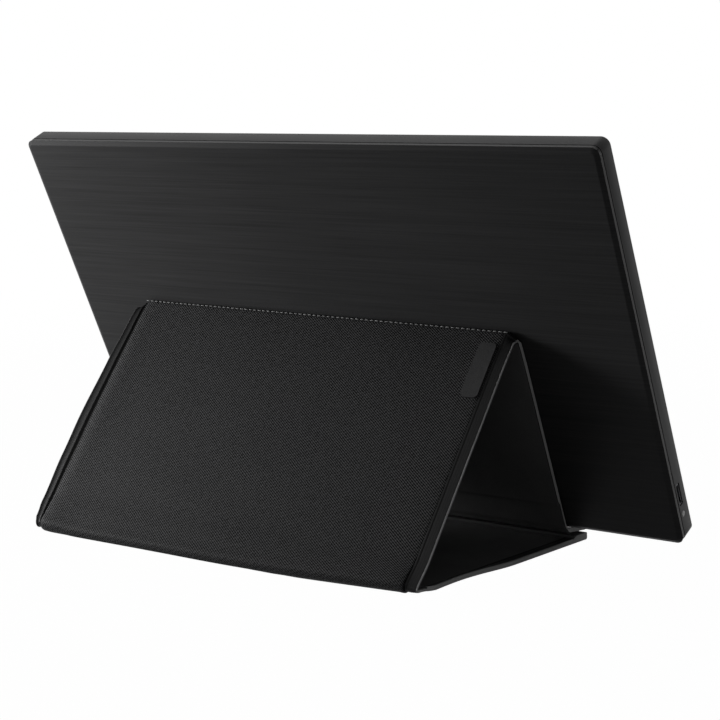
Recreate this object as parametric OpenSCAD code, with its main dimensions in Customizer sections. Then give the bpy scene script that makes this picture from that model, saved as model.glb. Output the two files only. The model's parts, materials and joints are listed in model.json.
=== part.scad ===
/* [Monitor body] */
// Thickness of the monitor
mon_t = 13.4; // [12.4:0.1:16]
// Lean of the monitor from upright
tilt = 27; // [20:0.5:34]
// Radius of the four outer corners
corner_r = 4.5; // [3:0.5:12]
// Radius of the corners of the flat back
back_corner_r = 2; // [1:0.5:8]
// Wall of the plastic casings
wall = 1.2; // [1:0.1:1.4]
// How far the flat back is set in by its bevel
bevel_in = 2.4; // [1:0.1:4]
// Depth of that bevel
bevel_deep = 1.4; // [1.3:0.1:2]
// Depth from the back at which the front casing starts
band_end = 4; // [3.8:0.1:4.4]
// Open seam on each side of the middle band
seam = 0.3; // [0.2:0.05:0.4]
// Thickness of the side wall of the front casing
side_wall = 1.6; // [1.4:0.1:1.8]

/* [Screen] */
// Width of the lit picture
picture_w = 344.2; // [300:0.2:400]
// Height of the lit picture
picture_h = 193.6; // [170:0.2:230]
// Width of the plastic border beside the picture
border_side = 19.1; // [17:0.1:24]
// Height of the plastic border above the picture
border_above = 15.9; // [15:0.1:24]
// Height of the plastic border under the picture
border_below = 26; // [25:0.5:28]
// How far the glass reaches past the picture at the sides and the top
glass_edge = 5; // [4:0.5:6]
// How far the glass reaches past the picture at the bottom
glass_foot = 8; // [6:0.5:9]
// Thickness of the two glass plates
glass_t = 1.2; // [1:0.1:1.4]
// Thickness of the diffusing sheets
diffuser_t = 0.6; // [0.4:0.1:0.7]
// Thickness of the light guide
guide_t = 0.7; // [0.5:0.1:0.8]
// Thickness of the reflecting sheet
reflector_t = 0.2; // [0.1:0.05:0.3]
// Thickness of the steel of the screen tray
tray_t = 0.4; // [0.3:0.1:0.5]
// Thickness of the foam round the screen
gasket_t = 0.3; // [0.2:0.05:0.4]

/* [Electronics] */
// Height of the middle of the cable socket
socket_up = 28.5; // [26:0.5:34]
// Outer width of the cable socket's wide part, up the side
socket_w = 8; // [7.8:0.1:8.2]
// Outer width of the narrow part beside it
socket_side_w = 4.4; // [4:0.1:4.6]
// Outer height of the cable socket
socket_h = 2.6; // [2.4:0.1:2.8]
// Depth of the cable socket
socket_deep = 5.4; // [5:0.1:6]
// Height of the status light
light_up = 16; // [14:0.5:18]
// Radius of the status light
light_r = 1.2; // [0.8:0.1:1.4]
// Length of the control board
board_w = 128; // [110:1:140]
// Height of the control board
board_h = 40; // [38:1:46]
// Thickness of the circuit boards
board_t = 1; // [0.8:0.1:1.2]
// Length of the power button
button_w = 12; // [10:0.5:14]
// Height of the power button
button_h = 3; // [2.5:0.1:3.5]
// Travel of the power button
button_travel = 0.5; // [0.3:0.1:0.5]

/* [Cover] */
// Length of the cover, along the monitor
cover_len = 264.4; // [240:0.2:300]
// How far the middle of the cover is from the middle of the monitor
cover_shift = 10; // [0:0.5:20]
// Depth of the base panel from front edge to rear fold
base_depth = 174; // [165:0.5:178]
// Distance of the ridge up the monitor's back
ridge_up = 129.2; // [100:0.05:150]
// Thickness of the folded sheet
sheet_t = 2.4; // [2:0.1:3]
// Thickness of the outer leatherette
skin_t = 0.8; // [0.6:0.1:0.9]
// Thickness of the lining
lining_t = 0.6; // [0.4:0.1:0.7]
// Width of the smooth binding along the ends of each panel
binding_w = 7; // [5:0.5:9]
// Distance from the base's front edge to the monitor's back
lip_reach = 20.4; // [18:0.2:24]
// Distance of the lip's fold line behind the monitor's back
lip_fold_back = 3.2; // [3:0.1:4]
// Height of the lip's fold line
lip_fold_z = 8.8; // [8.6:0.1:10]
// Thickness of the padded lip
lip_t = 3; // [2.6:0.1:3.2]
// Fall of the lip towards its free edge, in degrees
lip_drop = 4; // [3:0.5:5]
// Soft stretch of the front panel above the lip, without a board
front_soft = 19; // [14:0.5:24]
// Depth of the magnet hem along the base's front edge
hem_deep = 14; // [12:0.5:18]
// Height of the magnet hem above the base sheet
hem_h = 1.8; // [1.6:0.1:2.4]
// Distance from a fold line to the flat panels beside it
fold_gap = 3; // [2.8:0.1:4]

/* [Clearances] */
// Gap between pieces that rest on each other but come apart
rest_gap = 0.4; // [0.3:0.05:0.5]
// Gap between the monitor's back and the ridge that it leans on
lean_gap = 0.5; // [0.4:0.05:0.8]
// Gap round pieces that sit in a pocket or a hole
fit_gap = 0.1; // [0.05:0.01:0.15]
// Gap round the power button in its hole
button_gap = 0.3; // [0.3:0.05:0.4]

/* [Hidden] */
$fn = 48;

mon_w = picture_w + 2 * border_side;
mon_h = picture_h + border_below + border_above;

// Places of the fold lines in the side view, as [y, z]
half_sheet = sheet_t / 2;
front_y = -base_depth / 2;
rear_line = [base_depth / 2 - half_sheet, half_sheet];
back_y = front_y + lip_reach;
lip_line = [back_y + lip_fold_back, lip_fold_z];
lip_top = lip_fold_z - lip_fold_back * tan(lip_drop) + lip_t / 2 / cos(lip_drop);
back_z = lip_top + rest_gap - bevel_deep * sin(tilt);

// The ridge is beside the monitor's back, and the rear panel reaches from it to the rear fold
up_dir = [sin(tilt), cos(tilt)];
side_dir = [cos(tilt), -sin(tilt)];
apex_line = [back_y, back_z] + (half_sheet + lean_gap) * side_dir + ridge_up * up_dir;
rear_len = norm(apex_line - rear_line);

rear_angle = atan2(apex_line[1] - rear_line[1], apex_line[0] - rear_line[0]);
front_angle = atan2(lip_line[1] - apex_line[1], lip_line[0] - apex_line[0]);
front_len = norm(lip_line - apex_line);
lip_angle = 180 + lip_drop;
lip_len = (lip_line[0] - front_y) / cos(lip_drop);
cover_x0 = cover_shift - cover_len / 2;
cover_x1 = cover_shift + cover_len / 2;
stiff_t = sheet_t - skin_t - lining_t;

// Depths inside the monitor, counted from its flat back towards the screen
face_in = mon_t - wall;
glass_front = face_in - gasket_t;
glass_back = glass_front - glass_t;
guide_front = glass_back - diffuser_t;
guide_back = guide_front - guide_t;
tray_front = guide_back - reflector_t;
tray_back = tray_front - tray_t;
band_start = bevel_deep + seam;
flange_back = band_end - seam - fit_gap;
flange_front = band_end + 0.8;
board_back = flange_front;
board_front = board_back + board_t;
skirt_in = side_wall + 0.4;
post_in = 6;
post_r = 2.5;
pilot_r = 0.9;
screw_r = 0.85;
head_r = 2;
head_t = 1;
flange_in = 9;

// Outline of the glass and of the tray round it
glass_w = picture_w + 2 * glass_edge;
glass_h = picture_h + glass_foot + glass_edge;
glass_low = border_below - glass_foot;
tray_gap = 0.2;
tray_rim = tray_gap + tray_t;
led_h = 3;

// Control board and what stands on it
board_side_gap = 2;
board_below_socket = 18;
board_x0 = -mon_w / 2 + skirt_in + board_side_gap;
board_x1 = board_x0 + board_w;
board_low = socket_up - board_below_socket;
board_top = board_low + board_h;
hole_in = 4;
BOARD_HOLES = [[board_x0 + hole_in, board_top - hole_in],
    [board_x1 - hole_in, board_top - hole_in], [board_x1 - hole_in, board_low + hole_in]];
board_head_t = 0.8;
board_hole_r = 1.1;
plate_in = 5;
insulation_in = 3;
timing_w = 180;
timing_h = 12;
timing_off = 22;
timing_low = board_top + timing_off;
timing_past = 20;
timing_x = board_x1 - timing_past;
cable_t = 0.3;
ribbon_w = 22;
ribbon_lap = 6;

// Places of the screws that hold the front casing, as [x, height]
post_far = mon_w / 2 - post_in;
post_side = 41.2;
post_span = mon_w / 2 - post_side;
post_beside = 14.2;
POSTS = concat(
    [for (share = [-1, -1 / 3, 1 / 3, 1]) [share * post_span, mon_h - post_in]],
    [for (x = [board_x1 + post_beside, post_span / 3, post_span * 0.73]) [x, post_in]],
    [for (side = [-1, 1]) [side * post_far, mon_h / 2]]
);
socket_x = -mon_w / 2 + 0.5;
socket_mid = board_front + socket_h / 2;
socket_rim = 0.5;
socket_shell = 0.35;
button_x = mon_w / 2 - 26;
button_up = 9;
button_board_back = tray_back - 0.2;
switch_t = 1;
switch_board_h = 9.9;
button_back = button_board_back + board_t + switch_t + button_travel + button_gap;
button_flange = 0.5;
button_proud = 0.3;
peg_off = 10;
peg_r = 1.3;
hem_z = sheet_t;

// A rectangle with round corners, from [x0, y0] to [x1, y1]
module round_box(x0, y0, x1, y1, r) {
    translate([x0 + r, y0]) square([x1 - x0 - 2 * r, y1 - y0]);
    translate([x0, y0 + r]) square([x1 - x0, y1 - y0 - 2 * r]);
    for (x = [x0 + r, x1 - r], y = [y0 + r, y1 - r]) translate([x, y]) circle(r);
}

// The monitor's outline, drawn in by some distance
module outline(inset, r = corner_r) {
    round_box(-mon_w / 2 + inset, inset, mon_w / 2 - inset, mon_h - inset, max(r - inset, 0.8));
}

// Stands the monitor on the lip: local x along it, z up its back, and the screen towards -y
module on_monitor() {
    translate([0, back_y, back_z]) rotate([-tilt, 0, 0]) children();
}

// Extrudes a flat shape from one depth behind the back plane to another
module layer(from, to) {
    rotate([90, 0, 0]) translate([0, 0, from]) linear_extrude(to - from) children();
}

// A slab on a panel: y along the panel from its fold line, z towards the inside of the fold
module slab(line, angle, from, to, low, high, x0 = cover_x0, x1 = cover_x1) {
    translate([0, line[0], line[1]]) rotate([angle, 0, 0])
        translate([x0, from, low]) cube([x1 - x0, to - from, high - low]);
}

// Extrudes a side view, drawn as [y, z], along the cover
module side_view(x0 = cover_x0, x1 = cover_x1) {
    translate([x0, 0, 0]) rotate([90, 0, 90]) linear_extrude(x1 - x0) children();
}

// The leather roll on a fold line with its tongue to the panel at the given angle
module fold_roll(line, angle) {
    tongue = 1;
    side_view() translate(line) {
        circle(half_sheet);
        rotate(angle) translate([0, -tongue / 2]) square([fold_gap, tongue]);
    }
}

// The bindings at both ends of a panel
module end_bindings(line, angle, from, to, low, high) {
    slab(line, angle, from, to, low, high, cover_x0, cover_x0 + binding_w);
    slab(line, angle, from, to, low, high, cover_x1 - binding_w, cover_x1);
}

module rear_cover() {
    color([0.16, 0.16, 0.17]) on_monitor() {
        difference() {
            hull() {
                layer(0, 0.02) outline(bevel_in, back_corner_r + bevel_in);
                layer(bevel_deep - 0.1, bevel_deep) outline(0);
            }
            layer(wall, bevel_deep + 1) outline(skirt_in + 1);
        }
        layer(bevel_deep, flange_back - 0.2) difference() {
            outline(skirt_in);
            outline(skirt_in + 1);
        }
    }
}

module middle_frame() {
    strip_in = 0.15;
    color([0.3, 0.3, 0.31]) on_monitor() {
        layer(band_start, flange_back) difference() {
            outline(strip_in);
            outline(side_wall + fit_gap);
        }
        difference() {
            union() {
                layer(flange_back, band_end - seam) difference() {
                    outline(strip_in);
                    outline(flange_in);
                }
                layer(band_end - seam, flange_front) difference() {
                    outline(side_wall + fit_gap);
                    outline(flange_in);
                }
                layer(flange_back, flange_front)
                    translate([board_x0 + plate_in, flange_in - 0.5])
                        square([board_w - plate_in, board_top - flange_in]);
            }
            layer(band_end - seam - 1, flange_front + 1) {
                for (p = POSTS) translate(p) circle(pilot_r + fit_gap);
                for (p = BOARD_HOLES) translate(p) circle(pilot_r);
            }
        }
    }
}

module front_bezel() {
    window = 1;
    color([0.1, 0.1, 0.11]) on_monitor() difference() {
        union() {
            layer(band_end, mon_t) difference() {
                outline(0);
                outline(side_wall);
            }
            layer(face_in, mon_t) outline(side_wall - 0.1);
            layer(flange_front, face_in) for (p = POSTS) translate(p) circle(post_r);
            layer(button_board_back + board_t, face_in) for (side = [-1, 1])
                translate([button_x + side * peg_off, button_up]) circle(peg_r);
        }
        layer(face_in - 1, mon_t + 1)
            translate([-picture_w / 2 - window, border_below - window])
                square([picture_w + 2 * window, picture_h + 2 * window]);
        layer(flange_front - 1, flange_front + 5)
            for (p = POSTS) translate(p) circle(pilot_r);
        layer(face_in - 1, mon_t + 1) button_outline(button_gap);
        translate([-mon_w / 2 - 1, -socket_mid, socket_up]) rotate([0, 90, 0])
            linear_extrude(side_wall + 2) socket_outline(socket_rim);
        translate([-mon_w / 2 - 1, -socket_mid, light_up]) rotate([0, 90, 0])
            cylinder(h = side_wall + 2, r = light_r + fit_gap);
    }
}

module screen_gasket() {
    color([0.08, 0.08, 0.08]) on_monitor() layer(glass_front, face_in) difference() {
        translate([-glass_w / 2, glass_low]) square([glass_w, glass_h]);
        translate([-picture_w / 2 - 1, border_below - 1])
            square([picture_w + 2, picture_h + 2]);
    }
}

module glass_sheet(from, to, foot = 0) {
    on_monitor() layer(from, to) translate([-glass_w / 2, glass_low + foot])
        square([glass_w, glass_h - foot]);
}

module lcd_glass() { color([0.03, 0.03, 0.04]) glass_sheet(glass_back, glass_front); }

module diffuser_sheets() { color([0.95, 0.95, 0.95]) glass_sheet(guide_front, glass_back); }

module light_guide() {
    color([0.85, 0.92, 0.95]) glass_sheet(guide_back, guide_front, led_h + fit_gap);
}

module reflector_sheet() { color([0.98, 0.98, 0.98]) glass_sheet(tray_front, guide_back); }

module led_strip() {
    color([0.95, 0.9, 0.6]) on_monitor() layer(guide_back, guide_front)
        translate([-picture_w / 2, glass_low]) square([picture_w, led_h]);
}

module screen_tray() {
    x0 = -glass_w / 2;
    color([0.75, 0.76, 0.78]) on_monitor() {
        layer(tray_back, tray_front)
            translate([x0 - tray_rim, glass_low - tray_rim])
                square([glass_w + 2 * tray_rim, glass_h + 2 * tray_rim]);
        layer(tray_front, glass_front) difference() {
            translate([x0 - tray_rim, glass_low - tray_rim])
                square([glass_w + 2 * tray_rim, glass_h + 2 * tray_rim]);
            translate([x0 - tray_gap, glass_low - tray_gap])
                square([glass_w + 2 * tray_gap, glass_h + 2 * tray_gap]);
        }
    }
}

module timing_board() {
    color([0.1, 0.35, 0.2]) on_monitor() layer(tray_back - board_t, tray_back)
        translate([timing_x - timing_w / 2, timing_low]) square([timing_w, timing_h]);
}

module control_board() {
    color([0.1, 0.35, 0.2]) on_monitor() layer(board_back, board_front) difference() {
        translate([board_x0, board_low]) square([board_w, board_h]);
        for (p = BOARD_HOLES) translate(p) circle(board_hole_r);
    }
}

// Chips on the control board, each as [x, height, width, height of its outline] in shares of
// the board's length, and its thickness in shares of the board's thickness
module board_chips() {
    chip_up = board_low + board_h / 2;
    CHIPS = [[0.39, 0.02, 0.11, 0.11, 1.2], [0.59, 0.05, 0.08, 0.06, 1],
        [0.59, -0.07, 0.06, 0.05, 1], [0.22, 0.06, 0.05, 0.05, 1.2],
        [0.23, -0.06, 0.05, 0.05, 1.3], [0.77, -0.03, 0.09, 0.04, 1.1]];
    color([0.12, 0.12, 0.13]) on_monitor() for (c = CHIPS)
        layer(board_front, board_front + c[4] * board_t)
            translate([board_x0 + (c[0] - c[2] / 2) * board_w, chip_up + (c[1] - c[3] / 2) * board_w])
                square([c[2], c[3]] * board_w);
}

// The two joined mouths of the cable socket, with x down the side of the monitor
module socket_outline(grow) {
    span = (socket_w + socket_side_w) / 2;
    split = socket_w - span;
    round_box(-span - grow, -socket_h / 2 - grow, split + grow, socket_h / 2 + grow, 0.5);
    round_box(split - 1 - grow, -socket_h / 2 - grow, span + grow, socket_h / 2 + grow, 0.5);
}

// The steel shell of the cable socket, open towards the monitor's side
module usb_socket() {
    color([0.8, 0.8, 0.82]) on_monitor()
        translate([socket_x, -socket_mid, socket_up]) rotate([0, 90, 0]) difference() {
            linear_extrude(socket_deep) socket_outline(0);
            translate([0, 0, -1]) linear_extrude(socket_deep + 1 - socket_shell)
                socket_outline(-socket_shell);
        }
}

module usb_tongue() {
    tongue_t = 0.6;
    tongue_len = socket_deep - socket_shell - 1;
    color([0.08, 0.08, 0.08]) on_monitor()
        translate([socket_x + 1, -socket_mid - tongue_t / 2, socket_up - socket_w / 4])
            cube([tongue_len, tongue_t, socket_w / 2]);
}

module insulating_sheet() {
    sheet = 0.2;
    color([0.9, 0.75, 0.3]) on_monitor() layer(flange_back - sheet, flange_back)
        translate([board_x0 + plate_in + insulation_in, flange_in])
            square([board_w - plate_in - 2 * insulation_in, board_top - flange_in - insulation_in]);
}

// A flat cable as a run of points, thickened by one step
module flat_cable(points, step) {
    polygon(concat(points, [for (i = [len(points) - 1:-1:0]) points[i] + step]));
}

module ribbon_cable() {
    end_y = -(tray_back - board_t - cable_t);
    color([0.85, 0.85, 0.8]) on_monitor()
        translate([timing_x - ribbon_w / 2, 0, 0]) rotate([90, 0, 90]) linear_extrude(ribbon_w)
            flat_cable([[-board_front, board_top - ribbon_lap], [-board_front, board_top + ribbon_lap],
                [end_y, timing_low - ribbon_lap], [end_y, timing_low + ribbon_lap]], [-cable_t, 0]);
}

module button_cable() {
    rise = button_board_back;
    lead_w = 4;
    color([0.85, 0.6, 0.2]) on_monitor() translate([0, 0, flange_in + 1.5]) linear_extrude(lead_w)
        flat_cable([[board_x1, -board_back], [button_x - 2.5 * button_w, -board_back],
            [button_x - 1.7 * button_w, -rise + cable_t],
            [button_x - button_w / 3, -rise + cable_t]], [0, -cable_t]);
}

module button_board() {
    color([0.1, 0.35, 0.2]) on_monitor()
        layer(button_board_back, button_board_back + board_t)
            translate([button_x - button_w, button_up - switch_board_h * 0.4])
                square([2 * button_w, switch_board_h]);
}

module button_switch() {
    low = button_board_back + board_t;
    color([0.7, 0.7, 0.7]) on_monitor() layer(low, low + switch_t)
        translate([button_x, button_up]) circle(2.2);
}

module button_outline(grow) {
    translate([button_x, button_up]) round_box(-button_w / 2 - grow, -button_h / 2 - grow,
        button_w / 2 + grow, button_h / 2 + grow, button_h / 2 + grow - 0.01);
}

module power_button() {
    color([0.2, 0.2, 0.21]) on_monitor() {
        layer(button_back, button_back + button_flange) button_outline(1);
        layer(button_back + button_flange, mon_t + button_proud) button_outline(0);
    }
}

module status_light() {
    color([0.8, 0.8, 0.8]) on_monitor()
        translate([-mon_w / 2, -socket_mid, light_up]) rotate([0, 90, 0])
            cylinder(h = 5, r = light_r);
}

module screw(p, head_from, head_to, r, tip) {
    layer(min(head_from, head_to), max(head_from, head_to)) translate(p) circle(head_r);
    layer(min(head_to, tip), max(head_to, tip)) translate(p) circle(r);
}

module case_screws() {
    seat = flange_back;
    color([0.55, 0.55, 0.57]) on_monitor() for (p = POSTS)
        screw(p, seat - head_t, seat, screw_r, flange_front + 4);
}

module board_screws() {
    color([0.55, 0.55, 0.57]) on_monitor() for (p = BOARD_HOLES)
        screw(p, board_front + board_head_t, board_front, screw_r, flange_back + 0.2);
}

// Places of the layers of the base sheet
base_to = rear_line[0] - fold_gap;
inner_x0 = cover_x0 + binding_w;
inner_x1 = cover_x1 - binding_w;

module base_skin() {
    color([0.13, 0.13, 0.14]) side_view(inner_x0, inner_x1) {
        translate([front_y + half_sheet, 0]) square([base_to - front_y - half_sheet, skin_t]);
        intersection() {
            translate([front_y + half_sheet, half_sheet]) circle(half_sheet);
            translate([front_y, 0]) square([half_sheet, sheet_t]);
        }
    }
}

module base_board() {
    color([0.55, 0.48, 0.38]) slab([front_y, 0], 0, half_sheet, base_to - front_y,
        skin_t, skin_t + stiff_t, inner_x0, inner_x1);
}

module base_lining() {
    color([0.07, 0.07, 0.07]) slab([front_y, 0], 0, half_sheet, base_to - front_y,
        skin_t + stiff_t, sheet_t, inner_x0, inner_x1);
}

module base_bindings() {
    color([0.2, 0.2, 0.21]) end_bindings([front_y, 0], 0, 0, base_to - front_y, 0, sheet_t);
}

MAGNET = [70, 8, 1];

module hem_magnet_boxes(grow) {
    for (side = [-1, 1]) translate([cover_shift + side * cover_len / 4,
            front_y + hem_deep / 2 + 0.5, hem_z + hem_h / 2])
        cube([MAGNET[0] + grow, MAGNET[1] + grow, MAGNET[2] + grow], center = true);
}

module magnet_hem() {
    nose = hem_h / 2;
    color([0.13, 0.13, 0.14]) difference() {
        side_view() {
            translate([front_y + nose, hem_z]) square([hem_deep - nose, hem_h]);
            translate([front_y + nose, hem_z + nose]) circle(nose);
        }
        hem_magnet_boxes(2 * fit_gap);
    }
}

module hem_magnets() { color([0.7, 0.7, 0.72]) hem_magnet_boxes(0); }

module rear_fold() { color([0.13, 0.13, 0.14]) fold_roll(rear_line, 180); }

module rear_layer(low, high) {
    slab(rear_line, rear_angle, fold_gap, rear_len - fold_gap, low, high, inner_x0, inner_x1);
}

module rear_skin() {
    color([0.13, 0.13, 0.14]) rear_layer(-half_sheet, -half_sheet + skin_t);
}

module rear_board() {
    color([0.55, 0.48, 0.38]) rear_layer(-half_sheet + skin_t, half_sheet - lining_t);
}

module rear_lining() {
    color([0.07, 0.07, 0.07]) rear_layer(half_sheet - lining_t, half_sheet);
}

module rear_bindings() {
    color([0.2, 0.2, 0.21]) end_bindings(rear_line, rear_angle, fold_gap,
        rear_len - fold_gap, -half_sheet, half_sheet);
}

// The bare leather tab near the ridge, at the end where the cable socket is
module label_tab() {
    tab_w = 10.5;
    tab_len = 33;
    tab_t = 1;
    from_end = 1;
    from_ridge = 6;
    color([0.1, 0.1, 0.1]) slab(rear_line, rear_angle,
        rear_len - fold_gap - from_ridge - tab_len, rear_len - fold_gap - from_ridge,
        -half_sheet - tab_t, -half_sheet,
        cover_x0 + binding_w + from_end, cover_x0 + binding_w + from_end + tab_w);
}

module apex_fold() { color([0.13, 0.13, 0.14]) fold_roll(apex_line, rear_angle + 180); }

module front_layer(low, high, to) {
    slab(apex_line, front_angle, fold_gap, to, low, high, inner_x0, inner_x1);
}

front_to = front_len - fold_gap;
board_to = front_len - front_soft;

module front_skin() {
    color([0.13, 0.13, 0.14]) front_layer(-half_sheet, -half_sheet + skin_t, front_to);
}

module front_board() {
    color([0.55, 0.48, 0.38])
        front_layer(-half_sheet + skin_t, half_sheet - lining_t, board_to);
}

module front_lining() {
    color([0.07, 0.07, 0.07]) {
        front_layer(half_sheet - lining_t, half_sheet, board_to);
        slab(apex_line, front_angle, board_to, front_to, -half_sheet + skin_t,
            -half_sheet + skin_t + lining_t, inner_x0, inner_x1);
    }
}

module front_bindings() {
    color([0.2, 0.2, 0.21]) end_bindings(apex_line, front_angle, fold_gap, front_to,
        -half_sheet, half_sheet);
}

module lip_fold() { color([0.13, 0.13, 0.14]) fold_roll(lip_line, front_angle + 180); }

lip_nose = lip_t / 2;

module lip_skin() {
    color([0.13, 0.13, 0.14]) translate([cover_x0, lip_line[0], lip_line[1]])
        rotate([lip_angle, 0, 0]) rotate([90, 0, 90]) linear_extrude(cover_len) {
            translate([fold_gap, -lip_t / 2])
                square([lip_len - fold_gap - lip_nose, skin_t]);
            intersection() {
                translate([lip_len - lip_nose, 0]) circle(lip_nose);
                translate([lip_len - lip_nose, -lip_nose]) square([lip_nose, lip_t]);
            }
        }
}

module lip_steel() {
    color([0.6, 0.6, 0.62]) slab(lip_line, lip_angle, fold_gap, lip_len - lip_nose,
        -lip_t / 2 + skin_t, lip_t / 2 - lining_t, cover_x0, cover_x1);
}

module lip_lining() {
    color([0.07, 0.07, 0.07]) slab(lip_line, lip_angle, fold_gap, lip_len - lip_nose,
        lip_t / 2 - lining_t, lip_t / 2, cover_x0, cover_x1);
}

// Places and angles that the joints of the record use
echo(back_y = back_y, back_z = back_z, rear_line = rear_line, apex_line = apex_line);
echo(lip_line = lip_line, rear_angle = rear_angle, front_angle = front_angle,
    front_len = front_len, lip_len = lip_len, socket_mid = socket_mid);

rear_cover();
middle_frame();
front_bezel();
screen_gasket();
lcd_glass();
diffuser_sheets();
light_guide();
reflector_sheet();
led_strip();
screen_tray();
timing_board();
control_board();
board_chips();
usb_socket();
usb_tongue();
insulating_sheet();
ribbon_cable();
button_cable();
button_board();
button_switch();
power_button();
status_light();
case_screws();
board_screws();
base_skin();
base_board();
base_lining();
base_bindings();
magnet_hem();
hem_magnets();
rear_fold();
rear_skin();
rear_board();
rear_lining();
rear_bindings();
label_tab();
apex_fold();
front_skin();
front_board();
front_lining();
front_bindings();
lip_fold();
lip_skin();
lip_steel();
lip_lining();
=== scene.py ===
import json
import math

import bmesh
import bpy
from mathutils import Matrix, Vector


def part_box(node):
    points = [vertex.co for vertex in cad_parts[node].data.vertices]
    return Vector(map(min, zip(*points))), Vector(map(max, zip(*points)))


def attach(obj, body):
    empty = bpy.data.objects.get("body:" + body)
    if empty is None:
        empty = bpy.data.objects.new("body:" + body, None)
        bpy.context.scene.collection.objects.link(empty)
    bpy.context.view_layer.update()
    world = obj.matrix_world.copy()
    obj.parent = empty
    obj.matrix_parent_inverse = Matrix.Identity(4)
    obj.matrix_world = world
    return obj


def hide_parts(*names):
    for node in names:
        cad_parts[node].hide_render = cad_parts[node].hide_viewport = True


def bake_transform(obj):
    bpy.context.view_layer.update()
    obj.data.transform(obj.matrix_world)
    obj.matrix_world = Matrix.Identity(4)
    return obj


bl_info = {
    "name": "Portable monitor on its folded cover",
    "version": (1, 0, 0),
    "blender": (4, 5, 0),
    "location": "3D View > Sidebar > Monitor",
    "description": "Dresses the packed solids of a portable monitor and its leatherette cover",
    "category": "Object",
}

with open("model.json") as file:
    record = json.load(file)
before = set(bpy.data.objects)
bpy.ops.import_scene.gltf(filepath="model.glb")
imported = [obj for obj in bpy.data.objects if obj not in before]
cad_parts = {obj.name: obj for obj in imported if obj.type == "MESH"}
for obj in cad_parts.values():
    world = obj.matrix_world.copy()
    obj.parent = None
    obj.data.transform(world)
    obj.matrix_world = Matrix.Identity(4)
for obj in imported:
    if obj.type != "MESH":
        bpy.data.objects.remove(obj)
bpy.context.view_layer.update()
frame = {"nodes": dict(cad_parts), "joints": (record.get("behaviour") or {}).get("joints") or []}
MM = 0.001
JOINTS = {j["name"]: j for j in frame["joints"]}

# The monitor's own frame: x along it, up its back, and deep from its back towards the screen
LEAN = math.asin(JOINTS["monitor_lift"]["axis"][1])
UP_BACK = Vector((0, math.sin(LEAN), math.cos(LEAN)))
DEEP = Vector((0, -math.cos(LEAN), math.sin(LEAN)))
BACK_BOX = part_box("rear_cover")
MON_W = BACK_BOX[1].x - BACK_BOX[0].x
MON_H = 235.5 * MM
MON_T = 13.4 * MM
FRONT_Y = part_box("base_bindings")[0].y
FOOT = Vector((0, FRONT_Y + 20.4 * MM, 9.84431 * MM))
CORNER_R = 4.5 * MM
PICTURE_W, PICTURE_H, PICTURE_UP = 344.2 * MM, 193.6 * MM, 26 * MM  # the last: above the lower edge
LENS_RADIUS, LENS_DEPTH = 1.55 * MM, 0.5 * MM
SEAM_RADIUS = 0.1 * MM
THREAD_THICK = 0.55 * MM

# The casing's edges: how deep they lie and how far inside the outline, in millimetres
BACK_EDGE = (0, 2.4)
BEVEL_EDGE = (1.4, 0)
FRAME_EDGE = (4, 0)
FRONT_EDGE = (MON_T / MM, 0)

# The cover in the side view, as (y, z): its ends along x, and its fold lines
COVER_X0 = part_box("rear_bindings")[0].x
COVER_X1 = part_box("rear_bindings")[1].x
COVER_MID = (COVER_X0 + COVER_X1) / 2
HALF_SHEET = 1.2 * MM
REAR_FOLD = Vector(JOINTS["rear_fold_hinge"]["pos_m"][1:])
RIDGE = Vector(JOINTS["apex_fold_hinge"]["pos_m"][1:])
LIP_FOLD = Vector(JOINTS["lip_fold_hinge"]["pos_m"][1:])
LIP_END = Vector((FRONT_Y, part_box("lip_lining")[0].z + 1.4 * MM))

# Heights in the sheet, counted outwards from its middle
BOARD_OUT = 0.4 * MM
BOARD_IN = -0.6 * MM
BOARD_INSET = 7.4 * MM
BOARD_GAP = 6 * MM
SEAM = 0.02 * MM
LIP_HALF = 1.5 * MM
SOFT_FROM = 19 * MM
LEFT_BAND = 7 * MM
RIGHT_BAND = 7.3 * MM
CUT_COLUMNS = [COVER_X0 - 0.1 * MM, COVER_X0 - 0.06 * MM, COVER_X0 + 0.05 * MM]
FOLD_STEPS = 12


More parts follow.
